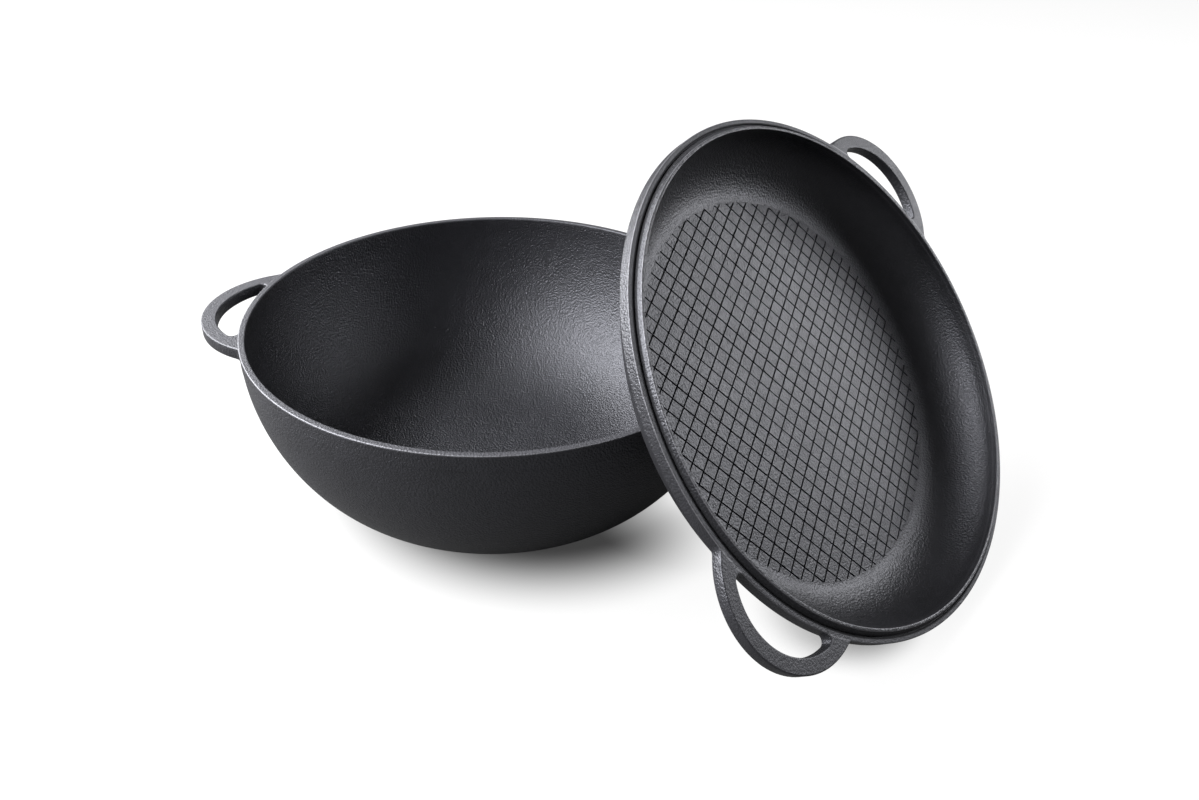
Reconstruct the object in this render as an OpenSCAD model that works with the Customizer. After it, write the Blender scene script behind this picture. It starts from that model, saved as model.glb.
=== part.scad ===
// Cast iron wok with a grill pan lid, both with two cast loop handles.
// Millimetres, +Z up. The origin is the centre of the wok's flat foot, and +X runs
// through its handles. The lid leans on the wok's rim, grill side towards +X -Y.

/* [Wok bowl] */
// Outer radius of the rim
rim_r = 185; // [165:1:215]
// Height of the rim over the flat foot
bowl_h = 136.5; // [120:0.5:165]
// Radius of the flat foot
foot_r = 90.5; // [70:0.5:110]
// Thickness of the cast wall
wall = 4.8; // [3.6:0.1:6]
// Thickness of the floor
floor_t = 6; // [4:0.5:10]
// Height of the upright band below the rim
rim_band = 12; // [11:1:20]
// Rounding of the ground edges of the rim
rim_round = 0.8; // [0.3:0.1:1.5]

/* [Wok handles] */
// How far each loop stands out of the rim
loop_reach = 31.5; // [26:0.5:38]
// Outer radius of the loop
loop_r = 65; // [58:1:72]
// Width of the loop's bar, seen from above
loop_w = 10.5; // [8:0.5:13]
// Thickness of the loop
loop_t = 9; // [6:0.5:9.5]
// Step from the rim down to the top of the loop
loop_drop = 0.8; // [0.3:0.1:1.2]
// Radius of the corners of the finger opening
loop_corner_r = 4; // [2:0.5:6]
// Radius of the fillet between loop and rim
loop_fillet_r = 8; // [4:0.5:12]

/* [Grill lid] */
// Clearance between the lid's spigot and the wok's mouth
spigot_clear = 2.2; // [0.8:0.1:3]
// Height of the spigot over the flange
spigot_h = 3.6; // [2.5:0.1:8]
// Inward draft of the spigot over its height
spigot_draft = 2.2; // [0.5:0.1:3]
// Width of the lip on top of the spigot
lip_w = 2.4; // [2.2:0.1:4.5]
// Width of the ledge that rests on the wok's rim
ledge_w = 4.8; // [4:0.1:7]
// Thickness of the flange
flange_t = 8.4; // [6:0.1:10]
// Thickness of the pan's wall and of its grill floor
pan_wall = 3.9; // [3.4:0.1:5]
// Depth of the grill floor below the flange
pan_depth = 41.3; // [36:0.1:55]
// Width of the curve that rises from the grill floor to the lip
pan_curve_w = 33.9; // [28:0.1:40]
// Height of the plain upright part between that curve and the flange's top
pan_upright = 4; // [2:0.5:8]
// Rounding of the lid's edges
lid_round = 0.7; // [0.3:0.1:1]

/* [Grill grooves] */
// Distance between grooves
groove_pitch = 10; // [8:0.5:16]
// Width of a groove
groove_w = 1.2; // [0.8:0.1:2.5]
// Depth of a groove
groove_d = 1; // [0.5:0.1:2]
// Plain margin between the grooves and the wall's curve
groove_margin = 0.6; // [0.3:0.1:6]
// Turn of the grooves from the line through the lid's handles, in degrees
groove_turn = -2; // [-45:1:45]

/* [Lid handles] */
// How far each loop stands out of the flange
lid_loop_reach = 34.3; // [28:0.1:40]
// Outer radius of the loop
lid_loop_r = 58.5; // [52:0.5:66]
// Width of the loop's bar, seen from above
lid_loop_w = 10.4; // [8:0.1:13]
// Thickness of the loop
lid_loop_t = 8; // [6:0.5:11]
// Radius of the corners of the finger opening
lid_corner_r = 4; // [2:0.5:6]
// Radius of the fillet between loop and flange
lid_fillet_r = 5; // [3:0.5:9]

/* [Place of the lid] */
// Direction that the grill side faces, seen from above, in degrees from +X
lid_turn = -40.4; // [-50:0.1:-25]
// How far the grill side faces up, in degrees
lid_lean = 40.8; // [36:0.1:48]
// Sideways offset of the lid along the wok's rim
lid_aside = 87.5; // [60:0.5:110]
// Turn of the lid's handles in its own plane, in degrees from its lowest point
lid_spin = -59.4; // [-75:0.1:-45]
// Clearance between the lid's back and the wok
lean_gap = 0.3; // [0.3:0.1:1.5]

/* [Hidden] */
$fn = 96;

// Shape of the bowl's side: powers of the curve from foot to rim
side_rise_power = 1.84;
side_swell_power = 1.94;
side_steps = 22;
// Shape of the pan's wall: power of its curve, where 2 is a quarter ellipse
pan_power = 1.6;
pan_steps = 14;
edge_steps = 3;
// Overrun of all cuts
over = 1;
// How far a handle's fillets bite into the arcs that they touch, so that they cross them
bite = 0.06;
// Facets of the large cut that fits a handle to its casting
fit_facets = 384;

curve_h = bowl_h - rim_band;
mouth_r = rim_r - wall;
spigot_r = mouth_r - spigot_clear;
flange_r = spigot_r + ledge_w;
lip_out_r = spigot_r - spigot_draft;
lip_in_r = lip_out_r - lip_w;
pan_floor_r = lip_in_r - pan_curve_w;
pan_curve_h = pan_depth - pan_upright;
back_depth = pan_depth + pan_wall;
grill_r = pan_floor_r - groove_margin;
groove_half_count = floor((grill_r - groove_w) / groove_pitch);

// Points of the bowl's side, from its flat part at height low up to the rim band.
function side(r_top, low) = [for (i = [0:side_steps])
    let (a = 90 * i / side_steps)
    [foot_r + (r_top - foot_r) * pow(sin(a), 2 / side_swell_power),
     curve_h - (curve_h - low) * pow(cos(a), 2 / side_rise_power)]];

// Points of a quarter ellipse about c, from angle a0 to a1.
function arc(c, rx, ry, a0, a1, steps) = [for (i = [0:steps])
    let (a = a0 + (a1 - a0) * i / steps)
    [c.x + rx * cos(a), c.y + ry * sin(a)]];

// Points of the pan's wall from the grill floor up, moved out from its inside by dist.
function pan_side(dist) = [for (i = [0:pan_steps])
    let (a = 90 * i / pan_steps,
         u = pow(sin(a), 2 / pan_power),
         v = pow(cos(a), 2 / pan_power),
         n = [pow(u, pan_power - 1) / pan_curve_w, -pow(v, pan_power - 1) / pan_curve_h])
    [pan_floor_r + pan_curve_w * u, -pan_upright - pan_curve_h * v] + n * dist / norm(n)];

function reversed(points) = [for (i = [len(points) - 1:-1:0]) points[i]];

module bowl_section() {
    e = rim_round;
    polygon(concat(
        [[0, floor_t], [0, 0]],
        side(rim_r, 0),
        arc([rim_r - e, bowl_h - e], e, e, 0, 90, edge_steps),
        arc([mouth_r + e, bowl_h - e], e, e, 90, 180, edge_steps),
        reversed(side(mouth_r, floor_t))));
}

back_side = pan_side(pan_wall);

// Radius of the lid's back at depth d below the top of its flange.
function back_r(d) = d < flange_t ? flange_r : lookup(-d, [for (p = back_side) [p.y, p.x]]);

module lid_section() {
    e = lid_round;
    polygon(concat(
        [[0, -back_depth]],
        [for (p = back_side) if (p.y < -flange_t - e) p],
        [[back_r(flange_t), -flange_t]],
        arc([flange_r - e, e - flange_t], e, e, -90, 0, edge_steps),
        arc([flange_r - e, -e], e, e, 0, 90, edge_steps),
        [[spigot_r, 0]],
        arc([lip_out_r - e, spigot_h - e], e, e, 0, 90, edge_steps),
        arc([lip_in_r + e, spigot_h - e], e, e, 90, 180, edge_steps),
        reversed(pan_side(0)),
        [[0, -pan_depth]]));
}

// Where two circles meet, above the line through their centres: one of radius ra
// about the origin, one of radius rb about [d, 0].
function meet(ra, rb, d) = let (x = (ra * ra - rb * rb + d * d) / (2 * d))
    [x, sqrt(ra * ra - x * x)];

function toward(from, to, dist) = from + (to - from) * dist / norm(to - from);

function flip(p) = [p.x, -p.y];

// A round peg or cut at point p, from height -below up to h.
module disc_at(p, r, h, below) {
    translate([p.x, p.y, -below]) cylinder(h = h + below, r = r);
}

// A loop handle of thickness t, lying on z = 0, on a body of radius body_r, out along +X.
module loop_handle(body_r, reach, r, bar, t, corner_r, fillet_r) {
    cx = body_r + reach - r;
    centre = [cx, 0];
    f = meet(body_r + fillet_r, r + fillet_r, cx);
    k = meet(body_r + corner_r, r - bar - corner_r, cx);
    // Inside the body or the bar, past the points where the arcs meet.
    f_body = toward([0, 0], f, body_r - over);
    f_loop = toward(centre, f, r - over);
    k_body = toward([0, 0], k, body_r - over);
    k_loop = toward(centre, k, r - bar + over);
    difference() {
        union() {
            disc_at(centre, r, t, 0);
            linear_extrude(t) polygon([[body_r - bar, 0], f_body, f, f_loop]);
            linear_extrude(t)
                polygon([[body_r - bar, 0], flip(f_loop), flip(f), flip(f_body)]);
        }
        disc_at(f, fillet_r + bite, t + over, over);
        disc_at(flip(f), fillet_r + bite, t + over, over);
        disc_at([0, 0], body_r, t + over, over, $fn = fit_facets);
        intersection() {
            disc_at(centre, r - bar, t + over, over);
            translate([0, 0, -over]) linear_extrude(t + 2 * over)
                polygon([[0, 0], flip(k_body), flip(k), flip(k_loop), [cx + r, -k_loop.y],
                         [cx + r, k_loop.y], k_loop, k, k_body]);
        }
        disc_at(k, corner_r + bite, t + over, over);
        disc_at(flip(k), corner_r + bite, t + over, over);
    }
}

module wok_bowl() {
    color("#3a3b3f") rotate_extrude() bowl_section();
}

module wok_handle(side_turn) {
    color("#55565b")
        rotate([0, 0, side_turn])
            translate([0, 0, bowl_h - loop_drop - loop_t])
                loop_handle(rim_r, loop_reach, loop_r, loop_w, loop_t,
                            loop_corner_r, loop_fillet_r);
}

module wok_handle_left() { wok_handle(180); }

module wok_handle_right() { wok_handle(0); }

// The direction that the grill side faces, and level directions along and across.
facing = [cos(lid_lean) * cos(lid_turn), cos(lid_lean) * sin(lid_turn), sin(lid_lean)];
outward = [cos(lid_turn), sin(lid_turn), 0];
across = [-sin(lid_turn), cos(lid_turn), 0];
// The lid stands on the floor with the curve of its back, or with its flange where
// that reaches lower.
curve_low = max([for (p = back_side) p.x * cos(lid_lean) - p.y * sin(lid_lean)]);
flange_low = flange_r * cos(lid_lean) + flange_t * sin(lid_lean);
lid_centre_h = max(curve_low, flange_low);

function lid_centre(dist) = outward * dist + across * lid_aside + [0, 0, lid_centre_h];

function clear_of_lid(p, dist) =
    let (v = p - lid_centre(dist), d = -(v * facing), r = norm(v + facing * d))
    d > back_depth + lean_gap || r > back_r(d) + lean_gap;

// Points of the wok that the lid could touch: the rim and the right handle's edge.
handle_cx = rim_r + loop_reach - loop_r;
wok_edge = concat(
    [for (a = [-90:2:60]) [rim_r * cos(a), rim_r * sin(a), bowl_h]],
    [for (a = [-60:5:60])
        [handle_cx + loop_r * cos(a), loop_r * sin(a), bowl_h - loop_drop]]);

function all_clear(dist) =
    min([for (p = wok_edge) clear_of_lid(p, dist) ? 1 : 0]) == 1;

// The least distance at which the leaning lid is clear of the wok, by halving.
function lean_dist(near, far, steps) = steps == 0 ? far :
    let (mid = (near + far) / 2)
    all_clear(mid) ? lean_dist(near, mid, steps - 1) : lean_dist(mid, far, steps - 1);

lid_dist = lean_dist(rim_r, 2 * rim_r, 16);

module place_lid() {
    translate(lid_centre(lid_dist))
        rotate([0, 90 - lid_lean, lid_turn])
            rotate([0, 0, lid_spin])
                children();
}

module grooves() {
    for (turn = [0, 90], i = [-groove_half_count:groove_half_count]) {
        y = i * groove_pitch;
        length = 2 * sqrt(grill_r * grill_r - y * y);
        rotate([0, 0, groove_turn + turn])
            translate([-length / 2, y - groove_w / 2, -pan_depth - groove_d])
                cube([length, groove_w, groove_d + over]);
    }
}

module grill_lid_pan() {
    color("#3d3e42")
        place_lid()
            difference() {
                rotate_extrude() lid_section();
                grooves();
            }
}

module lid_handle(side_turn) {
    color("#55565b")
        place_lid()
            rotate([0, 0, side_turn])
                translate([0, 0, -lid_loop_t])
                    loop_handle(flange_r, lid_loop_reach, lid_loop_r, lid_loop_w,
                                lid_loop_t, lid_corner_r, lid_fillet_r);
}

module lid_handle_lower() { lid_handle(0); }

module lid_handle_upper() { lid_handle(180); }

wok_bowl();
wok_handle_left();
wok_handle_right();
grill_lid_pan();
lid_handle_lower();
lid_handle_upper();
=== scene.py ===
# %% [markdown]
# The finished scene shows a black cast iron wok, with its grill pan lid leaning on it.
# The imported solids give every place, so they are loaded first, and nothing else is read.
# The solids could be shown as they are, but they hold bowl, pan and handles apart. On the
# real object each casting is one lump of iron with soft edges, so each is modelled here
# anew as one unbroken mesh.

# %% load the frame
import math

import bpy
import numpy as np
from mathutils import Matrix, Vector


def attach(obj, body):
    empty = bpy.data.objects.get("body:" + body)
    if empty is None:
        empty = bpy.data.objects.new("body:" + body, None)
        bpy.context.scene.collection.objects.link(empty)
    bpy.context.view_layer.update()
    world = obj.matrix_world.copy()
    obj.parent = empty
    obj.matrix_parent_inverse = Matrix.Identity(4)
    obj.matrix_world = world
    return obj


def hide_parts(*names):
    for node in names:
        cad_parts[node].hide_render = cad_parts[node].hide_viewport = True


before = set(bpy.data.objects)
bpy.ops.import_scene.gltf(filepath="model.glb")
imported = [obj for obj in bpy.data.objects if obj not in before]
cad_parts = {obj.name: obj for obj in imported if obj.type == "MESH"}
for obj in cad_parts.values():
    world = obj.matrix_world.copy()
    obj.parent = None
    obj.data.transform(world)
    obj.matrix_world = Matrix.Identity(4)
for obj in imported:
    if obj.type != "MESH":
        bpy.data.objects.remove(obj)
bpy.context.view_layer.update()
MM = 0.001

# %% [markdown]
# Every size below is in millimetres and is the same as on the solids. Finer sizes that
# only the eye needs, such as a broken edge, come later, where they are first used. The two
# castings share the way in which a loop handle springs from a round body, so a handle's
# sizes are kept together.

# %% sizes of the castings
RIM_R, BOWL_H, FOOT_R = 185.0, 136.5, 90.5
WALL, FLOOR_T, RIM_BAND = 4.8, 6.0, 12.0
RISE_POWER, SWELL_POWER = 1.84, 1.94
RIM_ROUND = 0.8
MOUTH_R = RIM_R - WALL

SPIGOT_R, SPIGOT_H, SPIGOT_DRAFT = MOUTH_R - 2.2, 3.6, 2.2
LIP_W, LEDGE_W, FLANGE_T = 2.4, 4.8, 8.4
PAN_WALL, PAN_DEPTH, PAN_UPRIGHT, PAN_CURVE_W, PAN_POWER = 3.9, 41.3, 4.0, 33.9, 1.6
LID_ROUND = 0.7
FLANGE_R = SPIGOT_R + LEDGE_W
LIP_OUT_R = SPIGOT_R - SPIGOT_DRAFT
LIP_IN_R = LIP_OUT_R - LIP_W
PAN_FLOOR_R = LIP_IN_R - PAN_CURVE_W
PAN_CURVE_H = PAN_DEPTH - PAN_UPRIGHT
BACK_DEPTH = PAN_DEPTH + PAN_WALL

GROOVE_PITCH, GROOVE_W, GROOVE_D, GROOVE_MARGIN = 10.0, 1.2, 1.0, 0.6
GROOVE_TURN = math.radians(-2)
GRILL_R = PAN_FLOOR_R - GROOVE_MARGIN

WOK_LOOP = dict(body_r=RIM_R, reach=31.5, r=65.0, bar=10.5, t=9.0, corner_r=4.0, fillet_r=8.0)
LID_LOOP = dict(body_r=FLANGE_R, reach=34.3, r=58.5, bar=10.4, t=8.0, corner_r=4.0, fillet_r=5.0)
LOOP_DROP = 0.8

LID_TURN, LID_LEAN, LID_SPIN = (math.radians(a) for a in (-40.4, 40.8, -59.4))
print("flange", FLANGE_R, "grill", GRILL_R)

# %% [markdown]
# The camera stands where the photographer's did: about 0.8 m from the wok's middle and a
# third of a right angle above it. It could be aimed by a Track To constraint, but the
# picture is also turned by a degree or two, so it is placed by its own three directions.

# %% camera
CAMERA_PLACE = Vector((58.9, -666.8, 484.8)) * MM
CAMERA_TOWARD, CAMERA_DOWN, CAMERA_ROLL = math.radians(88.306), math.radians(32.529), 0.0299
CAMERA_LENS, SENSOR_WIDTH, CLIP_END = 30.02, 36, 50

forward = Vector((math.cos(CAMERA_DOWN) * math.cos(CAMERA_TOWARD),
                  math.cos(CAMERA_DOWN) * math.sin(CAMERA_TOWARD), -math.sin(CAMERA_DOWN)))
level = forward.cross(Vector((0, 0, 1))).normalized()
upright = level.cross(forward)
right = level * math.cos(CAMERA_ROLL) + upright * math.sin(CAMERA_ROLL)
up = right.cross(forward)
camera_data = bpy.data.cameras.new("camera")
camera_data.lens = CAMERA_LENS
camera_data.sensor_width = SENSOR_WIDTH
camera_data.clip_end = CLIP_END
camera = bpy.data.objects.new("camera", camera_data)
bpy.context.scene.collection.objects.link(camera)
camera.matrix_world = Matrix.Translation(CAMERA_PLACE) @ Matrix(
    (right, up, -forward)).transposed().to_4x4()
bpy.context.scene.camera = camera
print("camera looks along", tuple(round(v, 3) for v in forward))

# %% [markdown]
# Everything is modelled with the same few moves that a modeller makes by hand. These
# helpers switch between object and edit mode and pick faces or edges by where they are,
# which takes the place of clicking on them.

# %% helpers for modelling
NEARLY = 0.01
WELD_GAP = 0.002


def only(obj):
    """Makes obj the only selected object, in object mode."""
    if bpy.context.object and bpy.context.object.mode != "OBJECT":
        bpy.ops.object.mode_set(mode="OBJECT")
    bpy.ops.object.select_all(action="DESELECT")
    obj.select_set(True)
    bpy.context.view_layer.objects.active = obj


def edit(obj, mode="VERT"):
    """Opens obj in edit mode with nothing selected."""
    only(obj)
    bpy.ops.object.mode_set(mode="EDIT")
    bpy.ops.mesh.select_mode(type=mode)
    bpy.ops.mesh.select_all(action="DESELECT")


def done():
    """Goes back to object mode, which also writes the edits to the mesh."""
    bpy.ops.object.mode_set(mode="OBJECT")


def first_point(name, place):
    """A mesh of one selected point at place, in millimetres, left open in edit mode."""
    bpy.ops.mesh.primitive_plane_add(size=MM, location=(0, 0, 0))
    obj = bpy.context.object
    obj.name = name
    edit(obj)
    bpy.ops.mesh.select_all(action="SELECT")
    bpy.ops.mesh.merge(type="CENTER")
    bpy.ops.transform.translate(value=Vector(place) * MM)
    return obj


def pick(obj, kind, test):
    """Selects the vertices, edges or polygons that pass a test of their centre."""
    bpy.ops.mesh.select_all(action="DESELECT")
    done()
    mesh = obj.data
    for part in getattr(mesh, kind):
        if kind == "vertices":
            where = part.co
        elif kind == "edges":
            where = (mesh.vertices[part.vertices[0]].co + mesh.vertices[part.vertices[1]].co) / 2
        else:
            where = part.center
        part.select = bool(test(where / MM, part))
    bpy.ops.object.mode_set(mode="EDIT")
    return sum(part.select for part in getattr(mesh, kind))


def apply_modifier(obj, kind, **values):
    """Adds a modifier with these values and applies it."""
    only(obj)
    modifier = obj.modifiers.new(kind.lower(), kind)
    for name, value in values.items():
        setattr(modifier, name, value)
    bpy.ops.object.modifier_apply(modifier=modifier.name)


def weld():
    """Joins points that lie at one place, in edit mode."""
    bpy.ops.mesh.select_all(action="SELECT")
    bpy.ops.mesh.remove_doubles(threshold=WELD_GAP * MM)


def add_to(body, extra):
    """Joins extra to body as one closed solid, without the slivers that the union leaves
    where two faces lie in one plane."""
    apply_modifier(body, "BOOLEAN", operation="UNION", solver="EXACT", object=extra)
    bpy.data.objects.remove(extra)
    edit(body)
    weld()
    done()


def report(obj):
    """Prints how large a mesh has become."""
    mesh = obj.data
    triangles = sum(len(polygon.vertices) - 2 for polygon in mesh.polygons)
    print(obj.name, len(mesh.vertices), "vertices,", triangles, "triangles")


# %% [markdown]
# A wok and its lid are turned shapes. They could be lathed by a Screw modifier, but a
# section that is drawn and spun is the move that a beginner learns first. It starts as one
# point, which is pushed along the section point by point. The flat stretches get a point
# close to each end, so that smooth shading stays flat there.

# %% helpers for sections
SPIN_STEPS = 256


def draw_section(name, points):
    """A chain of edges through points given as (radius, height) in millimetres."""
    obj = first_point(name, (points[0][0], 0, points[0][1]))
    for before, after in zip(points, points[1:]):
        step = Vector((after[0] - before[0], 0, after[1] - before[1])) * MM
        bpy.ops.mesh.extrude_region_move(TRANSFORM_OT_translate={"value": step})
    return obj


def spin_section(obj):
    """Spins the section round Z, closes its seam and poles and turns its faces outwards."""
    bpy.ops.mesh.select_all(action="SELECT")
    bpy.ops.mesh.spin(steps=SPIN_STEPS, angle=2 * math.pi, center=(0, 0, 0), axis=(0, 0, 1))
    weld()
    bpy.ops.mesh.normals_make_consistent(inside=False)
    done()
    report(obj)


def arc(centre, rx, ry, start, stop, steps):
    """Points of an elliptic arc, from one angle to the other in degrees."""
    angles = [math.radians(start + (stop - start) * i / steps) for i in range(steps + 1)]
    return [(centre[0] + rx * math.cos(a), centre[1] + ry * math.sin(a)) for a in angles]


def flat(start, stop, edge=0.4, middle=1):
    """Points along a straight stretch, without its two ends: one close to each end, and
    some between."""
    (x0, y0), (x1, y1) = start, stop
    length = math.hypot(x1 - x0, y1 - y0)
    shares = [edge / length] + [i / (middle + 1) for i in range(1, middle + 1)]
    shares.append(1 - edge / length)
    return [(x0 + (x1 - x0) * s, y0 + (y1 - y0) * s) for s in shares]


# %% [markdown]
# The wok's side is one swelling curve from the flat foot up to an upright band below the
# rim. It could be drawn as a Bezier curve, but a formula follows the few sizes that set
# it. Inside, the wall eases into the floor with no line between them, as a spoon needs it.
# The rim's top is ground flat, and its two edges are barely broken. A faint step runs
# round the outside where the band begins.

# %% wok bowl
SIDE_STEPS = 44
BAND_LOW = BOWL_H - RIM_BAND
EDGE_STEPS = 4
BAND_STEP = 0.25
INSIDE_FLAT_R, INSIDE_SWELL = 45.0, 3.2
FOOT_RINGS, INSIDE_RING = (0, 30, 60), 22


def bowl_side(top_r, low, flat_r, swell):
    """Points from the flat part at height low up to the band."""
    points = []
    for i in range(SIDE_STEPS + 1):
        a = math.pi / 2 * i / SIDE_STEPS
        points.append((flat_r + (top_r - flat_r) * math.sin(a) ** (2 / swell),
                       BAND_LOW - (BAND_LOW - low) * max(0, math.cos(a)) ** (2 / RISE_POWER)))
    return points


outside = bowl_side(RIM_R - BAND_STEP, 0, FOOT_R, SWELL_POWER)
inside = bowl_side(MOUTH_R, FLOOR_T, INSIDE_FLAT_R, INSIDE_SWELL)
rim_outer = arc((RIM_R - RIM_ROUND, BOWL_H - RIM_ROUND), RIM_ROUND, RIM_ROUND, 0, 90,
                EDGE_STEPS)
rim_inner = arc((MOUTH_R + RIM_ROUND, BOWL_H - RIM_ROUND), RIM_ROUND, RIM_ROUND, 90, 180,
                EDGE_STEPS)
section = [(r, 0) for r in FOOT_RINGS] + outside
section += [(RIM_R, BAND_LOW + BAND_STEP)]
section += flat(section[-1], rim_outer[0]) + rim_outer
section += flat(rim_outer[-1], rim_inner[0]) + rim_inner
section += flat(rim_inner[-1], inside[-1], middle=2) + inside[::-1]
section += [(INSIDE_RING, FLOOR_T), (0, FLOOR_T)]
wok = draw_section("wok_casting", section)
spin_section(wok)

# %% [markdown]
# A loop handle is a flat bar bent round a finger opening. It could be a curve with a
# bevelled section, but its roots widen into the wall. Seen from above its outline is made
# of arcs that touch each other, so the outline is drawn as a chain of points, filled as a
# face, pulled up to its thickness and given softly rounded edges. The roots reach into the
# casting's wall, where they are welded.

# %% loop handles
LOOP_ROUND, LOOP_ROUND_STEPS = 0.9, 3
CAP_CORNERS, CAP_INSET = 8, 0.3
LOOP_POINT_GAP = 1.6
ROOT_DEPTH = 2.4


def meet(ra, rb, d):
    """Where a circle of radius ra about the origin meets one of radius rb about (d, 0)."""
    x = (ra * ra - rb * rb + d * d) / (2 * d)
    return Vector((x, math.sqrt(ra * ra - x * x)))


def arc_between(centre, start, stop, steps=None):
    """The shorter arc about centre from start to stop, without its first point."""
    centre, a, b = Vector(centre), Vector(start), Vector(stop)
    r = (a - centre).length
    turn = (a - centre).angle_signed(b - centre) * -1
    steps = steps or max(2, round(abs(turn) * r / LOOP_POINT_GAP))
    first = math.atan2(a.y - centre.y, a.x - centre.x)
    return [centre + Vector((math.cos(first + turn * i / steps),
                             math.sin(first + turn * i / steps))) * r
            for i in range(1, steps + 1)]


def loop_outline(body_r, reach, r, bar, t, corner_r, fillet_r):
    """One closed outline in millimetres, anticlockwise, of a loop handle out along +X."""
    centre = Vector((body_r + reach - r, 0))
    fillet = meet(body_r + fillet_r, r + fillet_r, centre.x)
    corner = meet(body_r + corner_r, r - bar - corner_r, centre.x)
    root = (body_r - ROOT_DEPTH) / body_r
    on_body, on_loop = fillet.normalized() * body_r, centre + (fillet - centre).normalized() * r
    outer = [on_body * root, on_body] + arc_between(fillet, on_body, on_loop)
    outer += arc_between(centre, on_loop, centre + Vector((r, 0)))
    on_body, on_loop = (corner.normalized() * body_r,
                        centre + (corner - centre).normalized() * (r - bar))
    inner = [on_body * root, on_body] + arc_between(corner, on_body, on_loop)
    inner += arc_between(centre, on_loop, centre + Vector((r - bar, 0)))
    other_outer = [Vector((point.x, -point.y)) for point in outer[:-1]]
    other_inner = [Vector((point.x, -point.y)) for point in inner[:-1]]
    return other_outer + outer[::-1] + inner + other_inner[::-1]


def loop_handle(name, sizes, top):
    """A loop handle whose upper face lies at height top, out along +X."""
    outline = loop_outline(**sizes)
    low = top - sizes["t"]
    obj = first_point(name, (outline[0].x, outline[0].y, low))
    for before, after in zip(outline, outline[1:]):
        step = Vector((after.x - before.x, after.y - before.y, 0)) * MM
        bpy.ops.mesh.extrude_region_move(TRANSFORM_OT_translate={"value": step})
    bpy.ops.mesh.select_all(action="SELECT")
    bpy.ops.mesh.edge_face_add()
    bpy.ops.mesh.extrude_region_move(
        TRANSFORM_OT_translate={"value": Vector((0, 0, sizes["t"])) * MM})
    bpy.ops.mesh.select_all(action="SELECT")
    bpy.ops.mesh.normals_make_consistent(inside=False)
    bpy.ops.mesh.select_mode(type="EDGE")
    pick(obj, "edges", lambda where, edge: min(abs(where.z - low), abs(where.z - top)) < NEARLY)
    bpy.ops.mesh.bevel(offset=LOOP_ROUND * MM, segments=LOOP_ROUND_STEPS, affect="EDGES")
    bpy.ops.mesh.select_mode(type="FACE")
    pick(obj, "polygons", lambda where, face: len(face.vertices) > CAP_CORNERS)
    bpy.ops.mesh.inset(thickness=CAP_INSET * MM, depth=0)
    done()
    report(obj)
    return obj


def turned(obj, angle):
    """Turns a piece round Z and keeps the turn in its mesh."""
    obj.data.transform(Matrix.Rotation(angle, 4, "Z"))
    return obj


for side in (0, math.pi):
    add_to(wok, turned(loop_handle("wok_loop", WOK_LOOP, BOWL_H - LOOP_DROP), side))
report(wok)

# %% [markdown]
# The lid is turned in the same way, as it would lie on a table with its grill side up.
# From outside to inside it has a flange, a ledge that rests on the wok's rim, a low spigot
# that centres it in the wok's mouth, with a fine relief cut round its root, and a wall
# that curves down to the grill floor. The floor is left open here, because its grooves
# are cut on their own.

# %% lid shell
PAN_STEPS, INSIDE_POWER = 26, 1.67
RELIEF_R, RELIEF_D, RELIEF_SLOPE = SPIGOT_R + 1.0, 1.2, 0.1
ROOT_IN, ROOT_UP = 0.2, 0.4
BACK_ROUND = 0.6
BACK_RINGS = (0, 35, 70, 105, 135)
END_GAP = 0.3


def pan_side(outwards, power):
    """Points of the pan's wall from the grill floor up, moved outwards from its inside."""
    points = []
    for i in range(PAN_STEPS + 1):
        a = math.pi / 2 * i / PAN_STEPS
        u = math.sin(a) ** (2 / power)
        v = max(0, math.cos(a)) ** (2 / power)
        x = u ** (power - 1) / PAN_CURVE_W
        y = v ** (power - 1) / PAN_CURVE_H
        points.append((PAN_FLOOR_R + PAN_CURVE_W * u + outwards * x / math.hypot(x, y),
                       -PAN_UPRIGHT - PAN_CURVE_H * v - outwards * y / math.hypot(x, y)))
    return points


def edge_arc(x, y, start):
    """A quarter round of the lid's edges about (x, y), from a starting angle in degrees."""
    return arc((x, y), LID_ROUND, LID_ROUND, start, start + 90, EDGE_STEPS)


flange_low = edge_arc(FLANGE_R - LID_ROUND, LID_ROUND - FLANGE_T, -90)
flange_high = edge_arc(FLANGE_R - LID_ROUND, -LID_ROUND, 0)
lip_outer = edge_arc(LIP_OUT_R - LID_ROUND, SPIGOT_H - LID_ROUND, 0)
lip_inner = edge_arc(LIP_IN_R + LID_ROUND, SPIGOT_H - LID_ROUND, 90)
wall_curve = pan_side(0, INSIDE_POWER)[::-1]
back_curve = pan_side(PAN_WALL, PAN_POWER)
back_top = np.interp(-FLANGE_T, [y for x, y in back_curve], [x for x, y in back_curve])
section = [(r, -BACK_DEPTH) for r in BACK_RINGS]
section += [point for point in back_curve if point[1] < -FLANGE_T - 2 * BACK_ROUND]
section += [(back_top, -FLANGE_T - BACK_ROUND), (back_top + BACK_ROUND, -FLANGE_T)]
section += flat(section[-1], flange_low[0], END_GAP) + flange_low
section += flat(flange_low[-1], flange_high[0], END_GAP) + flange_high
section += flat(flange_high[-1], (RELIEF_R, 0), END_GAP) + [(RELIEF_R, 0)]
section += [(RELIEF_R - RELIEF_SLOPE, -RELIEF_D), (SPIGOT_R, -RELIEF_D),
            (SPIGOT_R - ROOT_IN, ROOT_UP)]
section += lip_outer + flat(lip_outer[-1], lip_inner[0], END_GAP) + lip_inner
section += flat(lip_inner[-1], wall_curve[0], middle=2) + wall_curve
lid = draw_section("lid_casting", section)
spin_section(lid)

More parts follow.
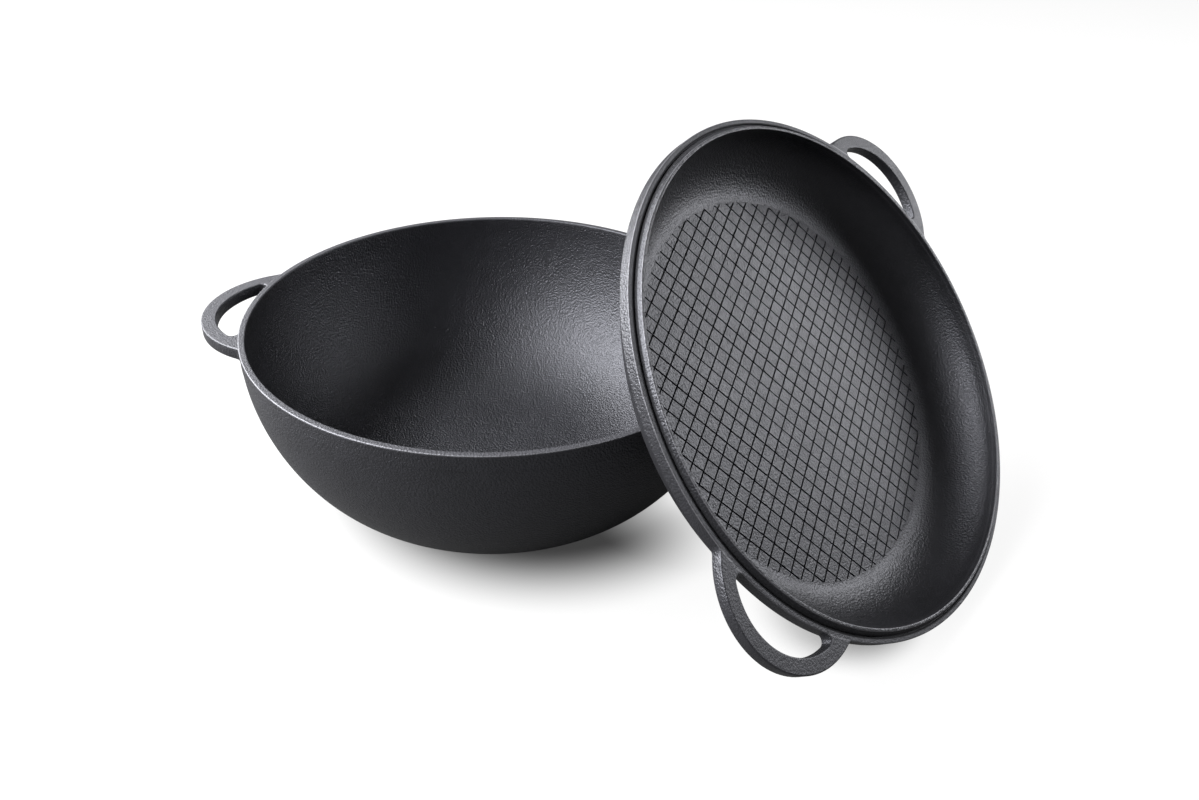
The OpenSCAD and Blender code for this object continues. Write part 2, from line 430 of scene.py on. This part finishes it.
# %% [markdown]
# The grill floor has square grooves that are cut into the iron. A bump map could draw
# them, but cut ones catch real light and shade. The floor starts as a filled circle.
# Straight cuts along both walls of every groove divide it, the strips between the cuts
# are pushed down, and the upper edges are broken by a hair so that they catch the light.
# The broken edges lie inside the groove's width.

# %% grill floor
GROOVE_EDGE = 0.2
WALLS_APART = GROOVE_W - 2 * GROOVE_EDGE
EDGE_MARGIN = 0.05
last_groove = int((GRILL_R - GROOVE_W) / GROOVE_PITCH)
groove_lines = [i * GROOVE_PITCH for i in range(-last_groove, last_groove + 1)]
bpy.ops.mesh.primitive_circle_add(vertices=SPIN_STEPS, radius=GRILL_R * MM, fill_type="NGON",
                                  location=(0, 0, 0))
floor = bpy.context.object
floor.name = "grill_floor"
edit(floor)
for normal in ((1, 0, 0), (0, 1, 0)):
    for line in groove_lines:
        for edge in (-WALLS_APART / 2, WALLS_APART / 2):
            bpy.ops.mesh.select_all(action="SELECT")
            bpy.ops.mesh.bisect(plane_co=Vector(normal) * (line + edge) * MM, plane_no=normal)
bpy.ops.mesh.select_mode(type="FACE")


def off_grooves(where):
    """How far a place lies from the nearest groove's middle, along x and along y."""
    return [abs(c - round(c / GROOVE_PITCH) * GROOVE_PITCH) for c in (where.x, where.y)
            if abs(round(c / GROOVE_PITCH)) <= last_groove]


def in_groove(where, face):
    return any(off < WALLS_APART / 2 for off in off_grooves(where))


print("groove faces", pick(floor, "polygons", in_groove))
bpy.ops.mesh.extrude_region_move(
    TRANSFORM_OT_translate={"value": Vector((0, 0, -GROOVE_D)) * MM})
weld()
bpy.ops.mesh.select_mode(type="EDGE")


def on_groove_edge(where, edge):
    beside = any(abs(off - WALLS_APART / 2) < NEARLY for off in off_grooves(where))
    return beside and abs(where.z) < NEARLY and where.length < GRILL_R - EDGE_MARGIN


print("groove edges", pick(floor, "edges", on_groove_edge))
bpy.ops.mesh.bevel(offset=GROOVE_EDGE * MM, segments=1, affect="EDGES")
done()
floor.data.transform(Matrix.Translation((0, 0, -PAN_DEPTH * MM))
                     @ Matrix.Rotation(GROOVE_TURN, 4, "Z"))
report(floor)

# %% [markdown]
# Floor and wall are one piece of iron. The slit between them could be filled face by face,
# but a bridge closes it in one move, also where the two rings differ in their number of
# points. The lid's loop handles are then welded on as the wok's were.

# %% join floor and shell
only(lid)
floor.select_set(True)
bpy.ops.object.join()
edit(lid, "EDGE")
bpy.ops.mesh.select_non_manifold()
bpy.ops.mesh.bridge_edge_loops()
bpy.ops.mesh.select_all(action="SELECT")
bpy.ops.mesh.normals_make_consistent(inside=False)
done()
for side in (0, math.pi):
    add_to(lid, turned(loop_handle("lid_loop", LID_LOOP, 0), side))
report(lid)

# %% [markdown]
# The lid then goes to its resting place, leaning on the wok's rim. Its tilt is known, and
# its middle is measured on the lid's solid, so that the two can't drift apart: half way
# across it in its own plane, and just under its highest lip.

# %% place the lid
facing = Vector((math.cos(LID_LEAN) * math.cos(LID_TURN),
                 math.cos(LID_LEAN) * math.sin(LID_TURN), math.sin(LID_LEAN)))
across = Vector((-math.sin(LID_TURN), math.cos(LID_TURN), 0))
upward = facing.cross(across)
solid = np.array([vertex.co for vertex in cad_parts["grill_lid_pan"].data.vertices])
lid_centre = facing * (float((solid @ np.array(facing)).max()) - SPIGOT_H * MM)
for direction in (across, upward):
    reaches = solid @ np.array(direction)
    lid_centre += direction * float(reaches.min() + reaches.max()) / 2
lid_place = (Matrix.Translation(lid_centre) @ Matrix.Rotation(LID_TURN, 4, "Z")
             @ Matrix.Rotation(math.pi / 2 - LID_LEAN, 4, "Y")
             @ Matrix.Rotation(LID_SPIN, 4, "Z"))
lid.data.transform(lid_place)
print("lid's middle", [round(v / MM, 1) for v in lid_centre])

# %% [markdown]
# Turned iron is round, and the mesh has flat faces. More faces would hide that, but smooth
# shading by angle does it for nothing, and leaves edges sharper than the angle crisp, such
# as those of the grooves.

# %% smooth shading
SMOOTH_ANGLE = math.radians(32)
for casting in (wok, lid):
    only(casting)
    bpy.ops.object.shade_smooth_by_angle(angle=SMOOTH_ANGLE)
    print(casting.name, "smooth below", round(math.degrees(SMOOTH_ANGLE)), "degrees")

# %% [markdown]
# Cast iron keeps the grain of the sand it was poured in. That grain could be displaced
# into the mesh, but it is far finer than the mesh's faces, so a Bump node shades it. This
# node group makes the skin: fine pebbles with a few larger swells as a height, and a
# slight mottle in its tone. Both castings use it with their own strengths.

# %% cast skin group
def new_group(name, inputs, outputs):
    """A shader node group with these sockets, and its input and output nodes."""
    group = bpy.data.node_groups.new(name, "ShaderNodeTree")
    for socket, kind, value in inputs:
        made = group.interface.new_socket(name=socket, in_out="INPUT", socket_type=kind)
        if value is not None:
            made.default_value = value
    for socket, kind in outputs:
        group.interface.new_socket(name=socket, in_out="OUTPUT", socket_type=kind)
    return group, group.nodes.new("NodeGroupInput"), group.nodes.new("NodeGroupOutput")


def math_node(tree, operation, *values, clamp=False):
    """A Math node; each value is a number or a socket."""
    node = tree.nodes.new("ShaderNodeMath")
    node.operation = operation
    node.use_clamp = clamp
    for socket, value in zip(node.inputs, values):
        if isinstance(value, (int, float)):
            socket.default_value = value
        else:
            tree.links.new(value, socket)
    return node.outputs[0]


def noise(tree, vector, scale, detail, roughness=0.5):
    """A Noise texture's value."""
    node = tree.nodes.new("ShaderNodeTexNoise")
    node.inputs["Scale"].default_value = scale
    node.inputs["Detail"].default_value = detail
    node.inputs["Roughness"].default_value = roughness
    tree.links.new(vector, node.inputs["Vector"])
    return node.outputs[0]


PEBBLES_PER_M, GRAIN_PER_M, SWELLS_PER_M, CLOUDS_PER_M = 640, 1000, 90, 14
PEBBLE_HEIGHT, GRAIN_HEIGHT, SWELL_HEIGHT = -0.7, 0.9, 0.3
SWELL_TONE, GRAIN_TONE, CLOUD_TONE = 0.5, 0.3, 0.6
PEBBLE_SMOOTHNESS = 0.6
skin, skin_in, skin_out = new_group(
    "cast skin", [("Vector", "NodeSocketVector", None)],
    [("Height", "NodeSocketFloat"), ("Mottle", "NodeSocketFloat")])
pebbles = skin.nodes.new("ShaderNodeTexVoronoi")
pebbles.feature = "SMOOTH_F1"
pebbles.inputs["Scale"].default_value = PEBBLES_PER_M
pebbles.inputs["Smoothness"].default_value = PEBBLE_SMOOTHNESS
skin.links.new(skin_in.outputs["Vector"], pebbles.inputs["Vector"])
grain = noise(skin, skin_in.outputs["Vector"], GRAIN_PER_M, detail=2)
swells = noise(skin, skin_in.outputs["Vector"], SWELLS_PER_M, detail=3)
clouds = noise(skin, skin_in.outputs["Vector"], CLOUDS_PER_M, detail=4, roughness=0.6)
height = math_node(skin, "MULTIPLY", pebbles.outputs["Distance"], PEBBLE_HEIGHT)
height = math_node(skin, "MULTIPLY_ADD", grain, GRAIN_HEIGHT, height)
height = math_node(skin, "MULTIPLY_ADD", swells, SWELL_HEIGHT, height)
skin.links.new(height, skin_out.inputs["Height"])
mottle = math_node(skin, "MULTIPLY", grain, GRAIN_TONE)
mottle = math_node(skin, "MULTIPLY_ADD", swells, SWELL_TONE, mottle)
mottle = math_node(skin, "MULTIPLY_ADD", clouds, CLOUD_TONE, mottle)
skin.links.new(mottle, skin_out.inputs["Mottle"])
print("skin: a pebble every", round(1 / (PEBBLES_PER_M * MM), 1), "mm")

# %% [markdown]
# The rim, the ledge and the handles' tops are ground after casting, so they are smoother
# and greyer than the black skin. They could be faces with a material of their own, but a
# mask blends, as wear does. This one rises within a fraction of a millimetre of a height
# that is measured along the casting's own axis.

# %% ground band group
GROUND_SOFTNESS = 0.3
ground, ground_in, ground_out = new_group(
    "ground above", [("Height", "NodeSocketFloat", 0.0), ("Level", "NodeSocketFloat", 0.0),
                     ("Softness", "NodeSocketFloat", GROUND_SOFTNESS * MM)],
    [("Mask", "NodeSocketFloat")])
rise = math_node(ground, "SUBTRACT", ground_in.outputs["Height"], ground_in.outputs["Level"])
rise = math_node(ground, "DIVIDE", rise, ground_in.outputs["Softness"])
ground.links.new(math_node(ground, "MULTIPLY_ADD", rise, 0.5, 0.5, clamp=True),
                 ground_out.inputs["Mask"])
print("ground mask blends over", 2 * GROUND_SOFTNESS, "mm")

# %% [markdown]
# Use lays the iron bare along its edges, and there the lighter bare colour also paints
# highlight lines. The crease round the spigot gets painted shade, a colour near black. Both
# could be painted by hand, but each is a circle round the casting's axis, so a mask that is
# a ring at a radius and a height finds it from the sizes above.

# %% ring group
RING_CORE = 2 / 3
ring, ring_in, ring_out = new_group(
    "ring", [("Vector", "NodeSocketVector", None), ("Radius", "NodeSocketFloat", 0.0),
             ("Height", "NodeSocketFloat", 0.0), ("Width", "NodeSocketFloat", 0.001)],
    [("Mask", "NodeSocketFloat")])
ring_flat = ring.nodes.new("ShaderNodeVectorMath")
ring_flat.operation = "MULTIPLY"
ring_flat.inputs[1].default_value = (1, 1, 0)
ring.links.new(ring_in.outputs["Vector"], ring_flat.inputs[0])
ring_radius = ring.nodes.new("ShaderNodeVectorMath")
ring_radius.operation = "LENGTH"
ring.links.new(ring_flat.outputs["Vector"], ring_radius.inputs[0])
ring_axes = ring.nodes.new("ShaderNodeSeparateXYZ")
ring.links.new(ring_in.outputs["Vector"], ring_axes.inputs["Vector"])
outside_ring = math_node(ring, "SUBTRACT", ring_radius.outputs["Value"], ring_in.outputs["Radius"])
above_ring = math_node(ring, "SUBTRACT", ring_axes.outputs["Z"], ring_in.outputs["Height"])
off_ring = math_node(ring, "MULTIPLY", above_ring, above_ring)
off_ring = math_node(ring, "MULTIPLY_ADD", outside_ring, outside_ring, off_ring)
off_ring = math_node(ring, "DIVIDE", math_node(ring, "SQRT", off_ring), ring_in.outputs["Width"])
fade = 1 / (1 - RING_CORE)
ring.links.new(math_node(ring, "MULTIPLY_ADD", off_ring, -fade, fade, clamp=True),
               ring_out.inputs["Mask"])
print("ring mask is full over", round(RING_CORE, 2), "of its width")

# %% [markdown]
# The iron itself is one material, made twice: once for the wok, and once for the lid,
# whose pattern is turned with it. Seasoned iron is nearly black, and what the eye sees is
# its soft sheen, so the base colours are dark and the roughness does most of the work. A
# Metallic of 1 would lose the black, so it stays a rough black with a strong, slightly
# cool highlight.

# %% cast iron materials
def use_group(tree, group, **values):
    """Places a group in a material; each value is a number or a socket."""
    node = tree.nodes.new("ShaderNodeGroup")
    node.node_tree = group
    for name, value in values.items():
        socket = node.inputs[name]
        if isinstance(value, (int, float)):
            socket.default_value = value
        else:
            tree.links.new(value, socket)
    return node


def mix_colour(tree, share, first, second):
    """A colour between two, each a tuple or a socket, by a share that is a socket."""
    node = tree.nodes.new("ShaderNodeMix")
    node.data_type = "RGBA"
    for name, value in (("A", first), ("B", second)):
        socket = [s for s in node.inputs if s.name == name and s.type == "RGBA"][0]
        if isinstance(value, tuple):
            socket.default_value = (*value, 1)
        else:
            tree.links.new(value, socket)
    tree.links.new(share, node.inputs[0])
    return [s for s in node.outputs if s.type == "RGBA"][0]


def rings(tree, where, places, width):
    """The largest of the ring masks at these (radius, height) places, in millimetres."""
    masks = [use_group(tree, ring, Vector=where, Radius=r * MM, Height=z * MM,
                       Width=width * MM).outputs["Mask"] for r, z in places]
    while len(masks) > 1:
        masks.append(math_node(tree, "MAXIMUM", masks.pop(), masks.pop()))
    return masks[0]


# The crease colour is painted shade: near black in the crease round the spigot, which lies in
# shadow.
EDGE_WEAR_AND_HIGHLIGHT, CREASE_SHADE_REACH = 0.65, 1.9
GROUND_BELOW, GROUND_ABOVE, NO_TOP = 0.4, 0.4, 9
# The bare iron colour is worn edges, lightened also to paint highlight lines on them.
BARE_IRON_AND_HIGHLIGHT, CREASE_SHADE_COLOUR = (0.12, 0.12, 0.13), (0.002, 0.002, 0.002)
TONE_SLOPE, TONE_START = 1.6, -0.62
GREY_ROUGH, GROUND_ROUGH, BARE_AND_HIGHLIGHT_ROUGH, CREASE_SHADE_ROUGH = 0.1, 0.1, -0.08, 0.4
GROUND_FLATTENS = 0.4
HIGHLIGHT, HIGHLIGHT_TINT = 0.7, (0.89, 0.905, 1, 1)


def cast_iron(name, place, level, edges, shaded_creases, black, grey, worn, sheen, skin_depth):
    """Black cast iron; faces at the level, on the casting's own axis, are ground. The edges
    are bare iron in a lighter colour that also paints highlight lines, and the creases get
    painted shade; where there are creases, the ground band also has a top."""
    material = bpy.data.materials.new(name)
    material.use_nodes = True
    tree = material.node_tree
    shader = tree.nodes["Principled BSDF"]
    where = tree.nodes.new("ShaderNodeTexCoord").outputs["Object"]
    mapping = tree.nodes.new("ShaderNodeMapping")
    back = place.inverted()
    mapping.inputs["Location"].default_value = back.translation
    mapping.inputs["Rotation"].default_value = back.to_euler()
    tree.links.new(where, mapping.inputs["Vector"])
    own = mapping.outputs["Vector"]
    axes = tree.nodes.new("ShaderNodeSeparateXYZ")
    tree.links.new(own, axes.inputs["Vector"])
    skin_node = use_group(tree, skin, Vector=own)
    band = (level - GROUND_BELOW, level + (GROUND_ABOVE if shaded_creases else NO_TOP))
    above_low, above_top = (use_group(tree, ground, Height=axes.outputs["Z"], Level=edge * MM)
                            for edge in band)
    mask = math_node(tree, "SUBTRACT", above_low.outputs["Mask"], above_top.outputs["Mask"])
    # Bare iron on the worn edges, lighter so that it also paints highlight lines.
    bare_and_highlight = rings(tree, own, edges, EDGE_WEAR_AND_HIGHLIGHT)
    tone = math_node(tree, "MULTIPLY_ADD", skin_node.outputs["Mottle"], TONE_SLOPE, TONE_START,
                     clamp=True)
    colour = mix_colour(tree, tone, black, grey)
    colour = mix_colour(tree, mask, colour, worn)
    colour = mix_colour(tree, bare_and_highlight, colour, BARE_IRON_AND_HIGHLIGHT)
    rough = math_node(tree, "MULTIPLY_ADD", tone, GREY_ROUGH, sheen)
    rough = math_node(tree, "MULTIPLY_ADD", mask, GROUND_ROUGH, rough)
    rough = math_node(tree, "MULTIPLY_ADD", bare_and_highlight, BARE_AND_HIGHLIGHT_ROUGH, rough)
    # Painted shade: the crease round the spigot is darkened almost to black, and dulled.
    if shaded_creases:
        crease_shade = rings(tree, own, shaded_creases, CREASE_SHADE_REACH)
        colour = mix_colour(tree, crease_shade, colour, CREASE_SHADE_COLOUR)
        rough = math_node(tree, "MULTIPLY_ADD", crease_shade, CREASE_SHADE_ROUGH, rough)
    tree.links.new(colour, shader.inputs["Base Color"])
    tree.links.new(rough, shader.inputs["Roughness"])
    bump = tree.nodes.new("ShaderNodeBump")
    bump.inputs["Strength"].default_value = 1.0
    bump.inputs["Distance"].default_value = skin_depth * MM
    smoother = math_node(tree, "MULTIPLY_ADD", mask, -GROUND_FLATTENS, 1)
    tree.links.new(math_node(tree, "MULTIPLY", skin_node.outputs["Height"], smoother),
                   bump.inputs["Height"])
    tree.links.new(bump.outputs["Normal"], shader.inputs["Normal"])
    shader.inputs["Specular IOR Level"].default_value = HIGHLIGHT
    shader.inputs["Specular Tint"].default_value = HIGHLIGHT_TINT
    print(name, "has", len(tree.nodes), "nodes")
    return material


def dress(obj, material):
    """Gives obj this one material."""
    obj.data.materials.clear()
    obj.data.materials.append(material)
    for polygon in obj.data.polygons:
        polygon.material_index = 0


# The crease round the spigot, where shade is painted into the colour.
SHADED_CREASE = (SPIGOT_R + 0.3, 0.2)
wok_iron = cast_iron(
    "wok iron", Matrix.Identity(4), level=BOWL_H - LOOP_DROP, edges=[(RIM_R, BOWL_H)], shaded_creases=[],
    black=(0.008, 0.008, 0.009), grey=(0.018, 0.018, 0.021), worn=(0.035, 0.035, 0.039),
    sheen=0.35, skin_depth=0.55)
lid_iron = cast_iron(
    "lid iron", lid_place, level=0,
    edges=[(FLANGE_R, 0), (LIP_OUT_R, SPIGOT_H), (LIP_IN_R, SPIGOT_H)], shaded_creases=[SHADED_CREASE],
    black=(0.009, 0.009, 0.010), grey=(0.020, 0.020, 0.023), worn=(0.03, 0.03, 0.034),
    sheen=0.35, skin_depth=0.38)
dress(wok, wok_iron)
dress(lid, lid_iron)

# %% [markdown]
# The studio is a white sweep. Lamps strong enough to make the floor white would also grey
# the iron, so the floor has a dark matt base that sends little light back up, and a glow
# that the camera sees, which keeps it white up to the edge of the picture. Reflections get
# a small share of the glow.

# %% floor
FLOOR_SIZE, FLOOR_GREY, FLOOR_ROUGH = 12, 0.1, 0.9
MIRRORED = 0.05
bpy.ops.object.select_all(action="DESELECT")
bpy.ops.mesh.primitive_plane_add(size=FLOOR_SIZE, location=(0, 0, 0))
studio_floor = bpy.context.object
studio_floor.name = "studio_floor"
floor_material = bpy.data.materials.new("white sweep")
floor_material.use_nodes = True
floor_tree = floor_material.node_tree
floor_shader = floor_tree.nodes["Principled BSDF"]
floor_shader.inputs["Base Color"].default_value = (FLOOR_GREY, FLOOR_GREY, FLOOR_GREY, 1)
floor_shader.inputs["Roughness"].default_value = FLOOR_ROUGH
floor_shader.inputs["Specular IOR Level"].default_value = 0
floor_shader.inputs["Emission Color"].default_value = (1, 1, 1, 1)
on_floor = floor_tree.nodes.new("ShaderNodeTexCoord").outputs["Object"]


def seen_share(tree):
    """1 for what the camera sees directly or through glass, less for mirrored rays."""
    path = tree.nodes.new("ShaderNodeLightPath")
    mirrored = math_node(tree, "MULTIPLY", path.outputs["Is Glossy Ray"], MIRRORED)
    seen = math_node(tree, "MAXIMUM", path.outputs["Is Camera Ray"], mirrored)
    return math_node(tree, "MAXIMUM", seen, path.outputs["Is Transmission Ray"])


def ramp(place, start, stop, low, high, blend="SMOOTHSTEP"):
    """A value on the floor that goes from low to high as a place comes to lie further off."""
    gap = floor_tree.nodes.new("ShaderNodeVectorMath")
    gap.operation = "DISTANCE"
    gap.inputs[1].default_value = (*place, 0)
    floor_tree.links.new(on_floor, gap.inputs[0])
    value = floor_tree.nodes.new("ShaderNodeMapRange")
    value.interpolation_type = blend
    for name, number in (("From Min", start), ("From Max", stop), ("To Min", low), ("To Max", high)):
        value.inputs[name].default_value = number
    floor_tree.links.new(gap.outputs["Value"], value.inputs["Value"])
    return value.outputs["Result"]


# %% [markdown]
# The castings shade the floor under them. The lamps alone can't draw that on a floor that
# glows, so the glow itself gives way: it fades towards the wok's foot, and comes back in
# the gap between wok and lid. An Ambient Occlusion node dims it where the lid's lower edge
# comes close, so that this shade goes when the lid is lifted.

# %% glow of the floor
NEAR_GLOW, FAR_GLOW = 0.05, 0.90
GLOW_CENTRE, GLOW_STARTS, GLOW_ENDS = (0.035, 0.012), 0.122, 0.196
GAP_PLACE, GAP_REACH, GAP_FADE = (0.146, -0.046), 0.084, 1.5
LID_SHADE, LID_SHADE_REACH = 0.9, 0.06
LID_FOOT, SHADE_FULL, SHADE_ENDS = (0.24, -0.168), 0.032, 0.065

round_foot = ramp(GLOW_CENTRE, GLOW_STARTS, GLOW_ENDS, NEAR_GLOW, FAR_GLOW)
in_gap = math_node(floor_tree, "POWER", ramp(GAP_PLACE, 0, GAP_REACH, 1, 0, "LINEAR"), GAP_FADE)
glow = math_node(floor_tree, "MULTIPLY_ADD", in_gap, FAR_GLOW, round_foot)
glow = math_node(floor_tree, "MINIMUM", glow, FAR_GLOW)
closeness = floor_tree.nodes.new("ShaderNodeAmbientOcclusion")
closeness.inputs["Distance"].default_value = LID_SHADE_REACH
covered = math_node(floor_tree, "MULTIPLY_ADD", closeness.outputs["AO"], -LID_SHADE, LID_SHADE,
                    clamp=True)
covered = math_node(floor_tree, "MULTIPLY", covered, ramp(LID_FOOT, SHADE_FULL, SHADE_ENDS, 1, 0))
glow = math_node(floor_tree, "MULTIPLY", glow, math_node(floor_tree, "SUBTRACT", 1, covered))
floor_tree.links.new(math_node(floor_tree, "MULTIPLY", seen_share(floor_tree), glow),
                     floor_shader.inputs["Emission Strength"])
dress(studio_floor, floor_material)
print("floor glows", NEAR_GLOW, "at the foot and", FAR_GLOW, "further off")

# %% [markdown]
# The world is white to the camera, so no horizon shows, and dim to everything else: the
# iron would look grey under a bright sky.

# %% world
WORLD_LIGHT = 0.03
world = bpy.data.worlds.new("studio")
world.use_nodes = True
bpy.context.scene.world = world
world_tree = world.node_tree
background = world_tree.nodes["Background"]
background.inputs["Color"].default_value = (1, 1, 1, 1)
world_tree.links.new(math_node(world_tree, "MULTIPLY_ADD", seen_share(world_tree),
                               1 - WORLD_LIGHT, WORLD_LIGHT), background.inputs["Strength"])
print("world lights the iron at", WORLD_LIGHT)

# %% [markdown]
# Each sheen on the iron mirrors a lamp, so the lamps stand where the sheens ask for them. A
# wide soft box on the left lights the rim and the wok's right inside, a tall one behind on
# the left lights the grill floor, a low one beside it reaches the wok's outside, and a weak
# one on the right opens the dark side. The front stays dark, so that the shapes keep
# contrast. Point lamps would draw small hard spots on the pebbles.

# %% lamps
LAMP_DISTANCE = 2.2
MIDDLE = Vector((0.1, -0.03, 0.1))


def soft_box(name, toward, height, size, power):
    """A soft box seen from the object at these two angles, in degrees."""
    toward, height = math.radians(toward), math.radians(height)
    direction = Vector((math.cos(height) * math.cos(toward),
                        math.cos(height) * math.sin(toward), math.sin(height)))
    data = bpy.data.lights.new(name, "AREA")
    data.shape = "RECTANGLE"
    data.size, data.size_y = size
    data.energy = power
    lamp = bpy.data.objects.new(name, data)
    bpy.context.scene.collection.objects.link(lamp)
    lamp.location = MIDDLE + direction * LAMP_DISTANCE
    lamp.rotation_euler = (-direction).to_track_quat("-Z", "Y").to_euler()
    print(name, "of", power, "watts at", [round(v, 2) for v in lamp.location])


soft_box("left box", toward=197, height=34, size=(1.7, 1.2), power=122)
soft_box("back box", toward=150, height=37, size=(1.2, 2.1), power=98)
soft_box("low box", toward=166, height=11, size=(1.2, 0.8), power=24)
soft_box("right box", toward=14, height=19, size=(1.3, 1.1), power=31)

# %% [markdown]
# Each casting stands in for its three solids and moves with its body.

# %% bodies
PIECES = ((wok, "wok", "wok_iron", ("wok_bowl", "wok_handle_left", "wok_handle_right")),
          (lid, "grill_lid", "lid_iron",
           ("grill_lid_pan", "lid_handle_lower", "lid_handle_upper")))
for casting, body, slot, nodes in PIECES:
    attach(casting, body)
    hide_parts(*nodes)

bpy.context.scene.view_settings.view_transform = "Standard"
